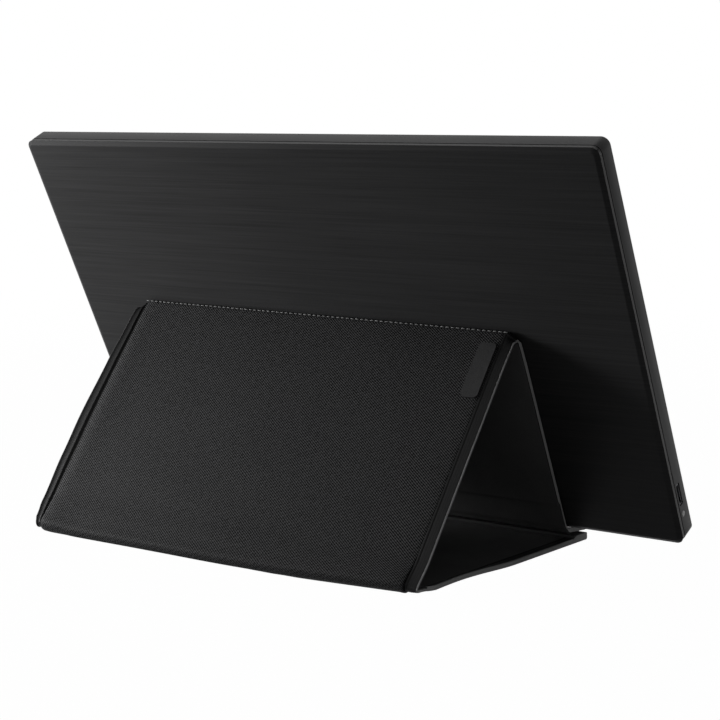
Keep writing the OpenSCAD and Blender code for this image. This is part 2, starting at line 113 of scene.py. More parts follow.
class Run:
    """The middle of the cover's sheet in the side view: straight panels with round folds."""

    def __init__(self, corners, radii):
        self.rows = []
        self.marks = [0.0]
        length = 0.0
        place = corners[0]
        for previous, corner, following, radius in zip(corners, corners[1:], corners[2:], radii):
            before = (corner - previous).normalized()
            after = (following - corner).normalized()
            turn = math.atan2(before.x * after.y - before.y * after.x, before.dot(after))
            trim = radius * math.tan(abs(turn) / 2)
            start = corner - before * trim
            heading = math.atan2(before.y, before.x)
            self.rows.append((length, place, heading))
            length += (start - place).length
            self.rows.append((length, start, heading))
            side = 1 if turn > 0 else -1
            centre = start + Vector((-before.y, before.x)) * radius * side
            arc = radius * abs(turn)
            self.marks.append(length + arc / 2)
            for k in range(1, FOLD_STEPS + 1):
                angle = heading + turn * k / FOLD_STEPS
                spot = centre + Vector((math.sin(angle), -math.cos(angle))) * radius * side
                self.rows.append((length + arc * k / FOLD_STEPS, spot, angle))
            length += arc
            place = corner + after * trim
        length += (corners[-1] - place).length
        self.rows.append((length, corners[-1], self.rows[-1][2]))
        self.marks.append(length)

    def at(self, s):
        """The place in the side view and the heading at a length along the sheet."""
        rows = self.rows
        if s <= rows[0][0]:
            a, b = rows[0], rows[1]
        elif s >= rows[-1][0]:
            a, b = rows[-2], rows[-1]
        else:
            high = next(i for i, row in enumerate(rows) if row[0] > s)
            a, b = rows[high - 1], rows[high]
        share = (s - a[0]) / max(b[0] - a[0], 1e-12)
        return a[1] + (b[1] - a[1]) * share, a[2] + (b[2] - a[2]) * min(max(share, 0), 1)

    def point(self, x, s, out):
        """A point of the sheet in the row frame, at a height outwards from its middle."""
        spot, heading = self.at(s)
        return Vector((x, spot.x + math.sin(heading) * out, spot.y - math.cos(heading) * out))


LOOP = Run(
    [Vector((FRONT_Y, HALF_SHEET)), REAR_FOLD, RIDGE, LIP_FOLD, LIP_END],
    [1.5 * MM, 0.5 * MM, 7 * MM],
)
AT_REAR, AT_RIDGE, AT_LIP, AT_END = LOOP.marks[1:]


def bump_shape(distance, width):
    """A smooth hill: 1 at no distance, and 0 from the width on."""
    share = min(abs(distance) / width, 1)
    return (1 - share * share) ** 2


def ramp(value, low, high):
    """0 below low, 1 above high, and smooth between them."""
    share = min(max((value - low) / (high - low), 0), 1)
    return share * share * (3 - 2 * share)


# Sizes and colours of a user


def length_setting(name, description, default, low, high):
    return bpy.props.FloatProperty(
        name=name, description=description, unit="LENGTH",
        default=default * MM, min=low * MM, max=high * MM)


def colour_setting(name, description, default):
    return bpy.props.FloatVectorProperty(
        name=name, description=description, default=default, subtype="COLOR", size=3, min=0, max=1)


class CoverLooks(bpy.types.PropertyGroup):
    """Sizes and colours of the cover."""

    stitch_pitch: length_setting("Stitch pitch", "Distance from one stitch to the next", 3.3, 1, 10)
    stitch_length: length_setting(
        "Stitch length", "Length of the thread that shows in one stitch", 2.3, 0.5, 9)
    crown: length_setting("Padding", "How far the leather swells beside its seams", 1.3, 0, 2)
    weave_pitch: length_setting(
        "Weave pitch", "Distance between the diagonal ribs of the leatherette", 1.085, 0.4, 5)
    leather: colour_setting("Leather", "Colour of the leatherette", (0.0115, 0.0115, 0.0118))
    binding: colour_setting("Binding", "Colour of the smooth bands at the ends", (0.009, 0.009, 0.0092))
    # Painted light: the cut edge and the lining are much lighter than the real ones, to lift them out of
    # the shade they sit in
    cut_edge: colour_setting("Cut edge", "Colour of the cut edge of the sheet", (0.5, 0.5, 0.5))
    lining: colour_setting("Lining", "Colour of the lining", (0.1, 0.1, 0.101))
    thread: colour_setting("Thread", "Colour of the stitching thread", (0.16, 0.16, 0.16))


class MonitorLooks(bpy.types.PropertyGroup):
    """Sizes and colours of the monitor."""

    edge_radius: length_setting("Edge radius", "Rounding of the casing's edges", 0.35, 0.05, 0.6)
    back: colour_setting("Back", "Colour of the brushed back", (0.029, 0.029, 0.0296))
    casing: colour_setting("Casing", "Colour of the front casing", (0.036, 0.036, 0.0366))
    band: colour_setting("Band", "Colour of the band between the two seams", (0.035, 0.035, 0.0355))
    streaks: bpy.props.FloatProperty(
        name="Streaks", description="Strength of the hairlines on the back",
        default=0.42, subtype="FACTOR", min=0, max=1)


class StageLooks(bpy.types.PropertyGroup):
    """Floor and lamps."""

    floor: colour_setting("Floor", "Colour of the floor", (0.4, 0.4, 0.4))
    key: bpy.props.FloatProperty(
        name="Key lamp", description="Power of the lamp at the left", default=1.55, unit="POWER")
    fill: bpy.props.FloatProperty(
        name="Fill lamp", description="Power of the lamp above", default=2.4, unit="POWER")
    air: bpy.props.FloatProperty(
        name="Air", description="Strength of the even light from all around", default=0.08, min=0, max=2)


# Materials


class Number:
    """An output of a material's node that takes part in sums as a number does."""

    def __init__(self, tree, socket):
        self.tree = tree
        self.socket = socket

    def sum(self, operation, *others, swap=False):
        node = self.tree.nodes.new("ShaderNodeMath")
        node.operation = operation
        parts = [self, *others]
        if swap:
            parts.reverse()
        for place, part in zip(node.inputs, parts):
            if isinstance(part, Number):
                self.tree.links.new(part.socket, place)
            else:
                place.default_value = part
        return Number(self.tree, node.outputs[0])

    def __add__(self, other):
        return self.sum("ADD", other)

    __radd__ = __add__

    def __sub__(self, other):
        return self.sum("SUBTRACT", other)

    def __rsub__(self, other):
        return self.sum("SUBTRACT", other, swap=True)

    def __mul__(self, other):
        return self.sum("MULTIPLY", other)

    __rmul__ = __mul__

    def __pow__(self, other):
        return self.sum("POWER", other)

    def sine(self):
        return self.sum("SINE")

    def size(self):
        return self.sum("ABSOLUTE")

    def above(self, edge):
        return self.sum("GREATER_THAN", edge)

    def between(self, low, high):
        """0 at low and 1 at high, smooth between them."""
        node = self.tree.nodes.new("ShaderNodeMapRange")
        node.interpolation_type = "SMOOTHSTEP"
        self.tree.links.new(self.socket, node.inputs["Value"])
        node.inputs["From Min"].default_value = low
        node.inputs["From Max"].default_value = high
        return Number(self.tree, node.outputs["Result"])

    def held(self):
        """Kept between 0 and 1."""
        return self.sum("MAXIMUM", 0).sum("MINIMUM", 1)


def seen_rays(tree):
    """1 for a ray from the camera or by way of gloss or glass, which sees the pale background."""
    path = tree.nodes.new("ShaderNodeLightPath")
    camera, gloss, glass = (
        Number(tree, path.outputs[f"Is {ray} Ray"]) for ray in ("Camera", "Glossy", "Transmission"))
    return (camera + gloss + glass).held()


class Finish:
    """One material with its shader, and short ways to add nodes to it."""

    def __init__(self, name):
        self.material = bpy.data.materials.new(name)
        self.material.use_nodes = True
        self.tree = self.material.node_tree
        self.tree.nodes.clear()
        output = self.tree.nodes.new("ShaderNodeOutputMaterial")
        self.shader = self.tree.nodes.new("ShaderNodeBsdfPrincipled")
        self.tree.links.new(self.shader.outputs[0], output.inputs["Surface"])

    def add(self, kind, settings=(), inputs=()):
        """A node of any kind, with its settings first and then its sockets' values or links."""
        node = self.tree.nodes.new("ShaderNode" + kind)
        for name, value in dict(settings).items():
            setattr(node, name, value)
        for name, value in dict(inputs).items():
            self.join(node.inputs[name], value)
        return node

    def join(self, place, value):
        if isinstance(value, Number):
            value = value.socket
        if isinstance(value, bpy.types.NodeSocket):
            self.tree.links.new(value, place)
        elif hasattr(value, "__len__") and len(value) == 3 and len(place.default_value) == 4:
            place.default_value = (*value, 1)
        else:
            place.default_value = value

    def number(self, node, output=0):
        return Number(self.tree, node.outputs[output])

    def axes(self, source="Object"):
        """The three coordinates of a surface point as numbers."""
        place = self.add("TexCoord").outputs[source]
        parts = self.add("SeparateXYZ", inputs={"Vector": place})
        return [self.number(parts, i) for i in range(3)]

    def vector(self, x, y, z):
        return self.add("CombineXYZ", inputs={"X": x, "Y": y, "Z": z}).outputs[0]

    def noise(self, place, scale, detail=3, rough=0.5):
        return self.number(self.add("TexNoise", inputs={
            "Vector": place, "Scale": scale, "Detail": detail, "Roughness": rough}))

    def mix(self, share, first, second):
        """A colour between two others."""
        node = self.add("Mix", {"data_type": "RGBA"})
        self.join(node.inputs["Factor"], share)
        colours = [s for s in node.inputs if s.type == "RGBA"]
        self.join(colours[0], first)
        self.join(colours[1], second)
        return next(s for s in node.outputs if s.type == "RGBA")

    def relief(self, height, distance, strength=1.0, under=None):
        """A bump of that height, in metres, on the surface or on another bump."""
        node = self.add("Bump", inputs={"Height": height, "Distance": distance, "Strength": strength})
        if under is not None:
            self.tree.links.new(under, node.inputs["Normal"])
        return node.outputs[0]

    def place(self):
        """The place on the piece, for noise."""
        return self.add("TexCoord").outputs["Object"]

    def surface(self, tone, colours, rough, height, depth, strength, gloss=0.5):
        """A surface between two colours, with a relief of a depth in millimetres."""
        return self.set(
            Base_Color=self.mix(tone, *colours), Roughness=rough, Specular_IOR_Level=gloss,
            Normal=self.relief(height, depth * MM, strength))

    def set(self, **sockets):
        for name, value in sockets.items():
            self.join(self.shader.inputs[name.replace("_", " ")], value)
        return self.material


def shade(colour, factor):
    """A colour made lighter or darker."""
    return tuple(min(c * factor, 1) for c in colour)


def shades(colour, *factors):
    return [shade(colour, factor) for factor in factors]


def grey(level):
    return (level, level, level)


def brushed_plastic(name, colour, streaks):
    """Dark plastic with fine lines along x, as on the monitor's back."""
    f = Finish(name)
    x, y, z = f.axes()
    fine = f.noise(f.vector(x * 14, 0, z * 1500), 1, 2, 0.6)
    broad = f.noise(f.vector(x * 5, 0, z * 420), 1, 3, 0.6)
    cloud = f.noise(f.place(), 9, 2)
    lines = fine * 0.55 + broad * 0.45
    tone = ((lines - 0.5) * (3.2 * streaks) + (cloud - 0.5) * 0.3 + 0.5).held()
    rough = ((lines - 0.5) * 0.5 * streaks + 0.45).held()
    return f.surface(tone, shades(colour, 0.55, 1.6), rough, lines, 0.05, 0.35, gloss=0.035)


def moulded_plastic(name, colour, rough=0.42, lines=0.0):
    """Satin plastic with a fine spark-eroded grain, and with lines through its depth where asked for."""
    f = Finish(name)
    place = f.place()
    speckle = f.noise(place, 2600, 2, 0.6)
    cloud = f.noise(place, 35, 3)
    height = speckle
    if lines:
        x, y, z = f.axes()
        across = y * -math.cos(LEAN) + z * math.sin(LEAN)
        height = speckle * (1 - lines) + f.noise(f.vector(0, 0, across), 2200, 1) * lines
    return f.surface(
        cloud, shades(colour, 0.8, 1.2), (cloud - 0.5) * 0.12 + rough, height, 0.02, 0.4, gloss=0.12)


def weave_leather(name, colour, pitch):
    """Leatherette with diagonal ribs that are crossed by finer ones, on the piece's own UV map."""
    f = Finish(name)
    u, v, w = f.axes("UV")
    place = f.vector(u, v, 0)
    wobble = (f.noise(place, 160, 2) - 0.5) * 3.4
    drift = (f.noise(place, 420, 1) - 0.5) * 2.2

    def wave(along, up, bend):
        """Ribs with that many turns along the sheet and up it in one pitch."""
        turn = 2 * math.pi / pitch
        return (u * (along * turn) + v * (up * turn) + bend).sine() * 0.5 + 0.5

    first = wave(-0.557, 0.831, wobble)
    second = wave(0.567, 0.209, wobble + drift)
    third = wave(0.215, 0.484, drift)
    crumb = f.noise(place, 2300, 2, 0.6)
    worn = f.noise(place, 22, 3, 0.55)
    patch = f.noise(place, 330, 2, 0.5)
    ribs = first * 0.6 + second * 0.22 + third * 0.18
    height = ribs * 0.8 + crumb * 0.2
    tone = (ribs - 0.5) * 2.8 + (crumb - 0.5) * 0.8 + (patch - 0.5) * 0.7 + (worn - 0.5) * 0.2 + 0.36
    rough = 0.62 - ribs * 0.16 + (worn - 0.5) * 0.1
    return f.surface(tone.held(), shades(colour, 0, 5.5), rough, height, 0.1, 0.6, gloss=0.04)


def smooth_leather(name, colour, rough=0.45):
    """Smooth leatherette with pores and faint creases."""
    f = Finish(name)
    place = f.place()
    cells = f.number(f.add("TexVoronoi", {"feature": "DISTANCE_TO_EDGE"}, {
        "Vector": place, "Scale": 1500.0, "Randomness": 1.0}))
    pores = cells.between(0.0, 0.22)
    crease = f.noise(place, 240, 4, 0.6)
    worn = f.noise(place, 30, 3)
    tone = (pores * 0.35 + crease * 0.4 + worn * 0.3).held()
    height = pores * 0.5 + crease * 0.5
    return f.surface(
        tone, shades(colour, 0.5, 1.6), (worn - 0.5) * 0.2 + rough, height, 0.06, 0.5, gloss=0.08)


def fibrous(name, colour, fine, coarse, share, factors, rough, depth, gloss):
    """Fibres or nap over coarser patches: the cut edge of the sheet, and the lining."""
    f = Finish(name)
    nap = f.noise(f.place(), fine, 3, 0.7)
    patches = f.noise(f.place(), *coarse)
    tone = (nap * share + patches * (1 - share)).held()
    return f.surface(tone, shades(colour, *factors), rough(nap, patches), nap, depth, 0.5, gloss)


def cut_sheet(name, colour):
    return fibrous(
        name, colour, 1400, (60, 3), 0.6, (0.6, 1.4), lambda nap, patches: nap * 0.2 + 0.6, 0.05, 0.15)


def brushed_lining(name, colour):
    return fibrous(
        name, colour, 1700, (26, 4, 0.6), 0.45, (0.5, 1.9), lambda nap, patches: patches * 0.15 + 0.8,
        0.08, 0.03)


def spun_thread(name, colour):
    """Twisted thread."""
    f = Finish(name)
    x, y, z = f.axes()
    twist = ((x + y * 0.6 + z * 0.6) * 9000).sine() * 0.5 + 0.5
    return f.surface(twist, shades(colour, 0.7, 1.25), twist * 0.15 + 0.5, twist, 0.05, 0.5)


def sheet_metal(name, colour, rough=0.35):
    """Plain pressed or turned metal."""
    f = Finish(name)
    place = f.place()
    drawn = f.noise(place, 900, 3, 0.7)
    stain = f.noise(place, 45, 3)
    f.set(Metallic=1.0)
    return f.surface(stain, shades(colour, 0.85, 1.1), (drawn - 0.5) * 0.25 + rough, drawn, 0.01, 0.3)


def circuit_board(name):
    """Green solder mask over copper tracks."""
    f = Finish(name)
    x, y, z = f.axes()
    row = ((x * 2500).sine() * 0.5 + 0.5).above(0.72)
    column = ((z * 2500).sine() * 0.5 + 0.5).above(0.72)
    zone = f.noise(f.place(), 120, 1).above(0.5)
    track = row * zone + column * (1 - zone)
    colours = [(0.012, 0.09, 0.04), (0.03, 0.18, 0.07)]
    return f.surface(track, colours, 0.35 - track * 0.08, track, 0.03, 0.6)


def plain_film(name, colour, rough, lines=0.0):
    """Film, foam, card or cable with a slight grain, and leads along it where lines are asked for."""
    f = Finish(name)
    x, y, z = f.axes()
    grain = f.noise(f.place(), 700, 3, 0.6)
    tone = grain
    if lines:
        tone = (grain * 0.3 + ((x * lines).sine() * 0.5 + 0.5) * 0.7).held()
    return f.surface(tone, shades(colour, 0.75, 1.15), (grain - 0.5) * 0.2 + rough, grain, 0.03, 0.4)


def dark_screen(name):
    """The screen when it is off: a black border round a picture area with a faint blue cast."""
    f = Finish(name)
    x, y, z = f.axes()
    up = y * math.sin(LEAN) + z * math.cos(LEAN)
    low = FOOT.dot(UP_BACK) + PICTURE_UP
    inside = (1 - x.size().above(PICTURE_W / 2)) * up.above(low) * (1 - up.above(low + PICTURE_H))
    speck = f.noise(f.place(), 2400, 1)
    colours = [grey(0.002), (0.006, 0.0068, 0.0085)]
    return f.surface(inside, colours, speck * 0.08 + 0.24, speck, 0.01, 0.25, gloss=0.07)


def dark_gap(name):
    """Painted shade for the bottom of an open seam, where hardly any light comes back."""
    f = Finish(name)
    dust = f.noise(f.place(), 900, 2)
    return f.surface(dust, [grey(0.0015), grey(0.004)], dust * 0.1 + 0.85, dust, 0.01, 0.3, gloss=0.0)


def clear_guide(name):
    """The clear plate that spreads the light, with its printed dots."""
    f = Finish(name)
    dots = f.number(f.add("TexVoronoi", {"feature": "F1"}, {
        "Vector": f.place(), "Scale": 700.0, "Randomness": 0.2})).between(0.2, 0.3)
    return f.set(
        Base_Color=f.mix(dots, (0.9, 0.93, 0.95), (0.62, 0.7, 0.74)), Roughness=0.18 + dots * 0.1)


MATERIALS = {}


def make_materials():
    """Makes every material once, from the sizes and colours in the panel."""
    cover = bpy.context.scene.cover_looks
    monitor = bpy.context.scene.monitor_looks
    MATERIALS.update(
        back=brushed_plastic("Brushed dark back", monitor.back, monitor.streaks),
        casing=moulded_plastic("Satin casing", monitor.casing, lines=0.5),
        band=moulded_plastic("Satin band", monitor.band, 0.36),
        # Painted shade: a near-black colour for the bottoms of the casing's seams
        gap=dark_gap("Painted seam shade"),
        screen=dark_screen("Screen that is off"),
        button=moulded_plastic("Button cap", shade(monitor.casing, 1.3), 0.35),
        weave=weave_leather("Woven-look leatherette", cover.leather, cover.weave_pitch),
        smooth=smooth_leather("Smooth leatherette", cover.binding),
        # Painted highlight: a much lighter copy of the binding for the rim of the rolled edge
        rim=smooth_leather("Leatherette rim with painted highlight", shade(cover.binding, 5.0)),
        # Painted shade: a darker copy of the binding for the rear panel's right band, away from the key
        # lamp
        dull=smooth_leather("Leatherette in painted shade", shade(cover.binding, 0.5)),
        tab=smooth_leather("Tab leather", shade(cover.binding, 3.6), 0.4),
        edge=cut_sheet("Cut edge of the sheet", cover.cut_edge),
        lining=brushed_lining("Microfibre lining", cover.lining),
        thread=spun_thread("Pale thread", cover.thread),
        steel=sheet_metal("Zinc-plated steel", (0.52, 0.53, 0.55)),
        shell=sheet_metal("Socket shell", (0.2, 0.2, 0.21), 0.3),
        magnet=sheet_metal("Nickel-plated magnet", (0.6, 0.58, 0.54), 0.25),
        board=circuit_board("Circuit board"),
        chip=moulded_plastic("Chip resin", (0.012, 0.012, 0.012), 0.55),
        card=plain_film("Grey board", (0.3, 0.27, 0.22), 0.85),
        foam=plain_film("Foam strip", (0.02, 0.02, 0.02), 0.95),
        white=plain_film("White film", (0.85, 0.85, 0.84), 0.6),
        amber=plain_film("Amber film", (0.45, 0.25, 0.05), 0.4, 6000),
        cable=plain_film("Flat cable", (0.6, 0.6, 0.56), 0.5, 6000),
        guide=clear_guide("Light guide"),
        lamp=plain_film("Frosted light", (0.78, 0.78, 0.78), 0.45),
    )


def paint(piece, *names):
    """Gives a piece its materials, the first of them everywhere."""
    piece.data.materials.clear()
    for name in names:
        piece.data.materials.append(MATERIALS[name])


# Making pieces


def alone(piece):
    """Selects one object and nothing else."""
    bpy.ops.object.select_all(action="DESELECT")
    piece.select_set(True)
    bpy.context.view_layer.objects.active = piece


def added(name, make, **settings):
    """A new primitive with its name."""
    bpy.ops.object.select_all(action="DESELECT")
    make(**settings)
    piece = bpy.context.object
    piece.name = piece.data.name = name
    return piece


def edit(piece):
    alone(piece)
    bpy.ops.object.mode_set(mode="EDIT")
    bpy.ops.mesh.select_all(action="DESELECT")


def done(piece, angle=35):
    """Leaves edit mode, with the faces outwards and smooth up to an angle."""
    bpy.ops.mesh.select_all(action="SELECT")
    bpy.ops.mesh.normals_make_consistent(inside=False)
    bpy.ops.object.mode_set(mode="OBJECT")
    bpy.ops.object.shade_smooth_by_angle(angle=math.radians(angle))
    return piece


def pick_edges(piece, test):
    """In edit mode, selects the edges whose two ends pass a test."""
    bpy.ops.mesh.select_mode(type="EDGE")
    mesh = bmesh.from_edit_mesh(piece.data)
    found = 0
    for edge in mesh.edges:
        chosen = test(edge.verts[0].co, edge.verts[1].co)
        edge.select_set(chosen)
        found += chosen
    mesh.select_flush_mode()
    bmesh.update_edit_mesh(piece.data)
    if not found:
        raise RuntimeError(f"{piece.name}: no edge passes the test")


def cover_sheet(name, columns, rows, low, high):
    """A closed sheet along the cover between two heights: a grid that is extruded and laid on the run."""
    piece = added(
        name, bpy.ops.mesh.primitive_grid_add,
        x_subdivisions=len(columns) - 1, y_subdivisions=len(rows) - 1, size=2, calc_uvs=False)
    bpy.ops.object.mode_set(mode="EDIT")
    bpy.ops.mesh.select_all(action="SELECT")
    bpy.ops.mesh.extrude_region_move(TRANSFORM_OT_translate={"value": (0, 0, 1)})
    bpy.ops.object.mode_set(mode="OBJECT")
    flat = []
    trace = [LOOP.point(COVER_MID, s, high(COVER_MID, s)) for s in rows]
    along = [rows[0]]
    for before, after in zip(trace, trace[1:]):
        along.append(along[-1] + (after - before).length)
    for vertex in piece.data.vertices:
        i = round((vertex.co.x + 1) / 2 * (len(columns) - 1))
        j = round((vertex.co.y + 1) / 2 * (len(rows) - 1))
        x, s = columns[i], rows[j]
        flat.append((x, along[j]))
        top = vertex.co.z > 0.5
        vertex.co = LOOP.point(x, s, (high if top else low)(x, s)) + slump(x, s)
        vertex.co.z = max(vertex.co.z, 0)
    layer = piece.data.uv_layers.new(name="UVMap")
    for loop in piece.data.loops:
        layer.data[loop.index].uv = flat[loop.vertex_index]
    edit(piece)
    return done(piece)


def straight(value, low, high):
    """0 at low and 1 at high, evenly between them."""
    return (value - low) / (high - low)


def looked_up(table, at, between=straight):
    """The value at a place of a table of (place, value), between its rows."""
    for (p0, v0), (p1, v1) in zip(table, table[1:]):
        if at <= p1:
            return v0 + (v1 - v0) * between(at, p0, p1)
    return table[-1][1]


# How far the rear panel's left edge stands out at shares of its height, in millimetres
LEFT_BOW = [
    (0, -2.4), (0.03, -0.6), (0.1, 1.3), (0.3, 3.2), (0.48, 4.1), (0.72, 3.0), (0.9, 1.4), (0.97, 0.2),
    (1, -2.4)]
BOW_REACH = 18 * MM  # past the rear panel, along the sheet
BOW_WIDTH = 11 * MM  # along the ridge
SLACK_REACH = 18 * MM  # of the slack ends of the rear fold
CREST_REACH = 6 * MM  # of the ridge's dropped ends
CREST_DROP = 3.4
RIDGE_REACH = 22 * MM  # of the ridge's tilt
RIDGE_TILT = 0.75  # rise from the middle to the left end, in millimetres
HALF_LENGTH = 0.13
ARCH_Y, ARCH_REACH, ARCH_RISE = 48 * MM, 58 * MM, 2.1 * MM  # of the wavy base


def slump(x, s):
    """How far the soft sheet strays from its straight run: slack ends, a bowed edge, a wavy base."""
    from_right = x - COVER_X0
    from_left = COVER_X1 - x
    droop = 4.05 * (1 - ramp(from_right, -20 * MM, 150 * MM)) ** 1.6
    droop -= 1.5 * (1 - ramp(from_right, 0, 13 * MM))
    droop += 1.25 * (1 - ramp(from_left, 8 * MM, 38 * MM))
    lift = bump_shape(s - AT_REAR, SLACK_REACH) * droop * MM
    ends = 2 - ramp(from_right, 0, 6.8 * MM) - ramp(from_left, 0, 8 * MM)
    lift -= bump_shape(s - AT_RIDGE, CREST_REACH) * CREST_DROP * ends * MM
    tilt = RIDGE_TILT * (x - COVER_MID) / HALF_LENGTH - 0.3
    lift += bump_shape(s - AT_RIDGE, RIDGE_REACH) * tilt * MM
    if s < AT_REAR:
        arch = bump_shape(FRONT_Y + s - ARCH_Y, ARCH_REACH)
        lift += ARCH_RISE * arch * (1 - ramp(from_right, 0, 7 * MM))
        bow = LEFT_BOW[0][1] * (1 - ramp(AT_REAR - s, 0, BOW_REACH))
    elif s < AT_RIDGE:
        bow = looked_up(LEFT_BOW, (s - AT_REAR) / (AT_RIDGE - AT_REAR), ramp)
    else:
        bow = LEFT_BOW[-1][1] * (1 - ramp(s - AT_RIDGE, 0, BOW_REACH))
    return Vector((bow * MM * (1 - ramp(from_left, -1 * MM, BOW_WIDTH)), 0, lift))


def spread(start, end, step, extra=()):
    """Places from start to end, evenly by about a step, with others added."""
    count = max(1, round((end - start) / step))
    places = [start + (end - start) * k / count for k in range(count + 1)]
    places += [e for e in extra if start < e < end]
    places.sort()
    kept = [places[0]]
    for place in places[1:]:
        if place - kept[-1] > 0.04 * MM:
            kept.append(place)
    kept[-1] = end
    return kept


def near(centre, reach, count):
    """Extra places close together round a fold or a groove."""
    return [centre + reach * (2 * k / count - 1) for k in range(count + 1)]


def past(start, *distances):
    """Places at distances from a start, in millimetres."""
    return [start + d * MM for d in distances]


def wavy(x, s):
    """The slight unevenness of leather on board."""
    return 0.1 * MM * math.sin(x * 61 + 1.3 * math.sin(s * 47)) * math.sin(s * 73 + 0.7)


def leather_top(x, s):
    """Height of the outer leather between its two end seams."""
    crown = bpy.context.scene.cover_looks.crown
    left = (COVER_X1 - LEFT_BAND) - x
    right = x - (COVER_X0 + RIGHT_BAND)
    height = HALF_SHEET + 0.25 * MM * ramp(left, 0, 8 * MM) * ramp(right, 0, 8 * MM) + wavy(x, s)
    middle = 0.5 + 0.7 * bump_shape(s - (AT_REAR + AT_RIDGE) / 2, 80 * MM)
    height += crown * middle * 1.6 * (1 - math.exp(-left / (3 * MM))) * math.exp(-left / (13 * MM))
    height -= 0.35 * MM * math.exp(-right / (0.7 * MM))
    return height


# Places across the bands, from the cover's end, and the left band's height at each, in millimetres
BAND_COLUMNS_RIGHT = (
    0, 0.08, 0.25, 0.5, 0.8, 1.1, 1.4, 1.7, 2, 2.3, 2.6, 2.9, 3.2, 3.6, 4, 4.4, 4.9, 5.2, 5.4, 5.5, 5.6,
    5.8, 6.1, 6.5, 6.9, 7.1, 7.2, 7.3)
BAND_HEIGHTS_LEFT = (
    (0, 0.2), (0.1, 0.6), (0.3, 1.05), (0.6, 1.4), (0.9, 1.48), (1.3, 1.3), (1.7, 1.05), (2.2, 0.92),
    (3, 0.88), (3.8, 0.92), (4.2, 1.05), (4.5, 1.4), (4.75, 1.55), (5, 1.4), (5.2, 0.95), (5.4, 0.5),
    (5.6, 0.35), (5.9, 0.35), (6.1, 0.55), (6.3, 0.9), (6.6, 1.2), (7, 1.25))


def right_band_top(x, s):
    """Height of the smooth band at the cut end, with its two pressed lines."""
    d = (x - COVER_X0) / MM
    height = 1.15 - 0.25 * (1 - min(d / 0.5, 1)) ** 2
    height -= 0.28 * bump_shape(d - 5.5, 0.4) + 0.3 * bump_shape(d - 7.3, 0.45)
    height += 0.12 * bump_shape(d - 6.4, 0.8) + 0.05 * math.sin(d * 5.2) * bump_shape(d - 3, 3)
    return height * MM


def left_band_top(x, s):
    """Height of the rolled band at the other end, from its edge to the groove beside the leather."""
    return looked_up(BAND_HEIGHTS_LEFT, (COVER_X1 - x) / MM) * MM


def band_under(x, s):
    """Depth of a band's inner side, which is flush with the lining and rounded at the end."""
    off = min(x - COVER_X0, COVER_X1 - x) / MM
    return (-1.16 + 0.5 * max(1 - off / 0.6, 0) ** 2) * MM


BANDS = {
    "right": (past(COVER_X0, *BAND_COLUMNS_RIGHT), right_band_top),
    "left": ([COVER_X1 - d * MM for d, h in reversed(BAND_HEIGHTS_LEFT)], left_band_top),
}


def inner_columns(step=3 * MM):
    """Places along the ridge between the two bands, close together beside them."""
    x0, x1 = COVER_X0 + RIGHT_BAND, COVER_X1 - LEFT_BAND
    beside = (0.15, 0.35, 0.7, 1.2, 2)
    return spread(x0, x1, step, past(x0, *beside) + [x1 - d * MM for d in (*beside, 3)])


def full_columns(step):
    """Places along the ridge for a lining, which goes under both bands."""
    return spread(COVER_X0 + 0.6 * MM, COVER_X1 - 0.6 * MM, step)


def nose(height, left, radius):
    """A height of a sheet that is rounded off over its last part."""
    if left > radius:
        return height
    return height * math.sqrt(max(1 - (1 - left / radius) ** 2, 0.02))


def sheet_of(piece, rows, *with_pieces):
    """Takes the length along the rows and does nothing with it; the piece is not declared as a sheet."""
    rows[-1] - rows[0]


def finished(piece, materials, stands_for=(), body=None):
    """Paints a piece, hides what it replaces, and ties it to its body, or else bakes its place into its
    mesh.
    """
    paint(piece, *materials)
    if stands_for:
        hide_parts(*stands_for)
    if body:
        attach(piece, body)
    else:
        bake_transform(piece)
    return piece


def paint_rim_highlight(band):
    """Gives the rolled edge at the left end its painted highlight, a much lighter copy of the smooth
    leatherette.
    """
    uv = band.data.uv_layers[0].data
    for face in band.data.polygons:
        if COVER_X1 - sum(uv[i].uv.x for i in face.loop_indices) / face.loop_total < 0.75 * MM:
            face.material_index = 1


def lay(name, columns, rows, low, high, materials, stands_for=(), body=None):
    """Makes a sheet along the cover and finishes it, with the painted highlight on its rolled edge."""
    piece = finished(cover_sheet(name, columns, rows, low, high), materials, stands_for, body)
    if "rim" in materials:
        paint_rim_highlight(piece)
    return piece


def lay_bands(prefix, rows, low, high, node, body=None):
    """The bands at both ends of a panel; the heights take a band's end and its own top too."""
    for end, (columns, top) in BANDS.items():
        lay(
            f"{prefix}_band_{end}", columns, rows, lambda x, s: low(x, s, end, top),
            lambda x, s: high(x, s, top), ["smooth", "rim"],
            [node] if end == "right" else (), body)


def panel_board(name, start, end, node, body):
    """The stiff board inside a panel, which follows the sheet."""
    columns = spread(COVER_X0 + BOARD_INSET, COVER_X1 - BOARD_INSET, 8 * MM)
    lay(
        name, columns, spread(start, end, 4 * MM), lambda x, s: BOARD_IN, lambda x, s: BOARD_OUT,
        ["card"], [node], body)


def side(spot):
    """A place of the side view in the row frame."""
    return (0, spot.x, spot.y)


def dress(**nodes):
    """Paints the CAD nodes that keep their own shapes: each material has the names of its nodes."""
    for material, names in nodes.items():
        for name in names.split():
            paint(frame["nodes"][name], material)


def local(place):
    """x, height up the back and depth of a point on the monitor, in millimetres."""
    off = place - FOOT
    return place.x / MM, off.dot(UP_BACK) / MM, off.dot(DEEP) / MM


def inset(x, up):
    """How far a point lies inside the monitor's outline, in millimetres."""
    r = CORNER_R / MM
    half_w, half_h = MON_W / 2 / MM, MON_H / 2 / MM
    dx, dy = abs(x) - (half_w - r), abs(up - half_h) - (half_h - r)
    if dx > 0 and dy > 0:
        return r - math.hypot(dx, dy)
    return r - max(dx, dy)


